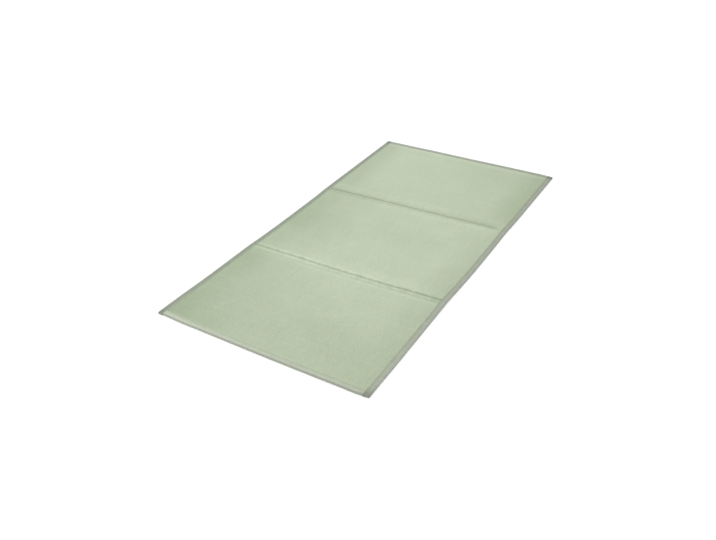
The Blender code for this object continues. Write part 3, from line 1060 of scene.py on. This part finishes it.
def woven_rush_finish(laid, patches):
    """Dried rush, sage green, each stem of its own shade, with a low waxy shine; with painted shade
    between the stems and in the rib dips, and painted light and shade over the face and the creases.
    """
    material, tree, place = started("woven_rush")
    stems = used(tree, laid, {"Place": place, "Rib": RIB, "Stem": STEM})
    wide = patchy(tree, patches, place, RUSH_PATCHES)
    streaks = patchy(tree, patches, stretched(tree, place, ALONG_STEMS), RUSH_STREAKS)
    bands = patchy(tree, patches, stretched(tree, place, ALONG_RIBS), RUSH_BANDS)

    shade = sums(tree, "ADD", stems["Stem Tone"], between(tree, streaks, 0.3, 0.7))
    color = mixed(tree, product(tree, shade, 0.5), RUSH_DARK, RUSH_LIGHT)
    sunny = sums(tree, "GREATER_THAN", stems["Float Tone"], 1 - SUNNY_SHARE)
    color = mixed(tree, product(tree, sunny, 0.5), color, RUSH_SUNNY)
    uneven = product(tree, between(tree, wide, 0.97, 1.03), between(tree, bands, 0.98, 1.02))
    # Painted shade between the stems and in the dips between the ribs.
    shade_between_stems = between(tree, stems["Height"], 0.88, 1.0)
    shade_in_dip = between(tree, stems["Dip"], 1.0, 0.955)
    light_falloff = wired(tree, "ShaderNodeAttribute", {}, attribute_name=FALLOFF_MAP).outputs["Fac"]
    # Painted light and shade: the face's falloff times the creases' highlights and shade.
    painted_light = product(tree, light_falloff, crease_light_and_shade(tree, place, patches))
    tone = product(tree, uneven, shade_between_stems, shade_in_dip, painted_light)
    # Painted shade: the rush is tinted greener where the painted light over the face is darkest.
    lit_share = ranged(tree, light_falloff, *GREENER_IN_SHADE_FROM_TO)
    color = multiplied(tree, color, mixed(tree, lit_share, RUSH_GREENER_IN_SHADE, WHITE))
    color = multiplied(tree, color, tone)
    painted(tree, color, between(tree, streaks, 0.50, 0.64), stems["Height"], 0.6, 0.30 * MM)
    return material


def binding_finish(side, threads, patches):
    """Grey-green cotton tape in a plain weave, patchy and smudged, with painted light and shade round
    its edge, along it and between its threads, and darker corners.
    """
    material, tree, place = started(f"binding_tape_{side}")
    light, dark = TAPE_LIT_AND_SHADED_COLORS[side]
    weave = used(tree, threads, {"Place": place, "Thread": TAPE_THREAD})
    patch = patchy(tree, patches, place, TAPE_PATCHES)
    shade = sums(tree, "ADD", weave["Thread Tone"], patch)
    color = mixed(tree, product(tree, shade, 0.5), dark, light)
    parts = parts_of(tree, place)
    across = ranged(tree, parts["X"], 0.0, BINDING_REACH)
    tint = mixed(tree, across, TAPE_TINTS[side].sewn, TAPE_TINTS[side].turned)
    color = multiplied(tree, color, tint)
    ends = TAPE_ENDS[side]
    half = (LENGTH if side in ("left", "right") else WIDTH) / 2
    smudges = between(tree, patchy(tree, patches, place, TAPE_SMUDGES), 0.92, 1.08)
    # Painted light and shade round the strip and along it, darker corners, and random smudges.
    tones = [tone_ramp(tree, parts["X"], TAPE_LIGHT_AND_SHADE, side), smudges]
    tones.append(ranged(tree, parts["Y"], -half, half, ends.start, ends.end))
    for way, corner in ((-1, ends.start_corner), (1, ends.end_corner)):
        from_middle = product(tree, parts["Y"], way)
        tones.append(ranged(tree, from_middle, half - CORNER_REACH, half, 1.0, corner))
    # Painted shade where the threads pass under each other.
    tones.append(between(tree, weave["Height"], 0.70, 1.04))
    color = multiplied(tree, color, product(tree, *tones))
    painted(tree, color, between(tree, patch, 0.72, 0.86), weave["Height"], 0.7, 0.15 * MM)
    return material


def thread_finish(patches):
    """Grey-green sewing thread, twisted."""
    material, tree, place = started("sewing_thread")
    tone = patchy(tree, patches, place, THREAD_PATCHES)
    inputs = {"Vector": place, "Scale": THREAD_TWISTS}
    wave = wired(tree, "ShaderNodeTexWave", inputs, bands_direction="DIAGONAL")
    twist = wave.outputs["Fac"]
    color = mixed(tree, tone, THREAD_DARK, THREAD_LIGHT)
    # Painted shade in the grooves of the twist.
    color = multiplied(tree, color, between(tree, twist, 0.86, 1.0))
    painted(tree, color, between(tree, tone, 0.55, 0.7), twist, 0.5, 0.08 * MM)
    return material


# ------------------------ the mat
def make_mat():
    """The rush body, its binding strips and its sewing, in place of the solids, which are hidden."""
    patches, threads, laid = uneven_tone(), crossed_threads(), laid_stems()
    thread = thread_finish(patches)
    rush = woven_rush(woven_rush_finish(laid, patches))
    seams = [
        crease_seam("sewing_near_crease", NEAR_CREASE, 31, thread),
        crease_seam("sewing_far_crease", FAR_CREASE, 32, thread),
    ]
    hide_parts("rush_mat")
    pieces = [rush]

    for name, side, seed in (("left", -1, 41), ("right", 1, 42), ("near", -1, 43), ("far", 1, 44)):
        finish = binding_finish(name, threads, patches)
        long = name in ("left", "right")
        strip = (long_binding if long else short_binding)(f"tape_{name}", side, seed, finish)
        seam = binding_seam(f"sewing_{name}", long, side, seed, thread)
        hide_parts(f"binding_{name}")
        seams.append(seam)
        pieces.append(strip)
    for piece in pieces + seams:
        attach(piece, "root")


# ------------------------ floor, light and camera
FLOOR_SIZE = 60.0


def make_stage():
    """A plain pale floor."""
    bpy.ops.mesh.primitive_plane_add(size=FLOOR_SIZE)
    floor = bpy.context.object
    floor.name = "floor"
    paint = bpy.data.materials.new("pale_floor")
    paint.use_nodes = True
    shader = paint.node_tree.nodes["Principled BSDF"]
    shader.inputs["Base Color"].default_value = (0.93, 0.93, 0.93, 1)
    shader.inputs["Roughness"].default_value = 1.0
    shader.inputs["Specular IOR Level"].default_value = 0.0
    floor.data.materials.append(paint)


def add_light(name, kind, energy, place, turn, **settings):
    """A lamp that shines down its own -Z axis, turned by degrees about X, then about Z."""
    light = bpy.data.lights.new(name, kind)
    light.energy = energy
    for setting, value in settings.items():
        setattr(light, setting, value)
    lamp = bpy.data.objects.new(name, light)
    lamp.location = place
    lamp.rotation_euler = (radians(turn[0]), 0, radians(turn[1]))
    bpy.context.scene.collection.objects.link(lamp)


def make_lights():
    """Plain soft studio light: a pale room, a wide ceiling and a key light over the near right
    corner."""
    world = bpy.data.worlds.new("pale_room")
    world.use_nodes = True
    background = world.node_tree.nodes["Background"]
    background.inputs["Color"].default_value = (1, 1, 1, 1)
    background.inputs["Strength"].default_value = 0.28
    bpy.context.scene.world = world

    add_light("ceiling", "SUN", 1.35, (0, 0, 3), (0, 0), angle=radians(110))
    add_light("key", "SUN", 1.75, (1, -1, 3), (38, 40), angle=radians(24))


def make_camera():
    """Looks down at the mat from past its near right corner."""
    azimuth, elevation, roll = radians(30.844), radians(33.122), radians(-0.660)
    distance, target = 2.9474, Vector((0.0423, -0.2690, 0.0010))
    back = Vector((sin(azimuth) * cos(elevation), -cos(azimuth) * cos(elevation), sin(elevation)))
    level = Vector((cos(azimuth), sin(azimuth), 0.0))
    upright = back.cross(level)
    right = level * cos(roll) + upright * sin(roll)
    up = upright * cos(roll) - level * sin(roll)
    lens = bpy.data.cameras.new("camera")
    lens.sensor_width = 36.0
    lens.lens = 37.92
    camera = bpy.data.objects.new("camera", lens)
    turn = Matrix((right, up, back)).transposed().to_4x4()
    camera.matrix_world = Matrix.Translation(target + back * distance) @ turn
    bpy.context.scene.collection.objects.link(camera)
    bpy.context.scene.camera = camera


def set_view():
    """Colours as they are, with no film look."""
    bpy.context.scene.view_settings.view_transform = "Standard"
    bpy.context.scene.view_settings.look = "None"


make_camera()
make_stage()
make_lights()
make_mat()
set_view()
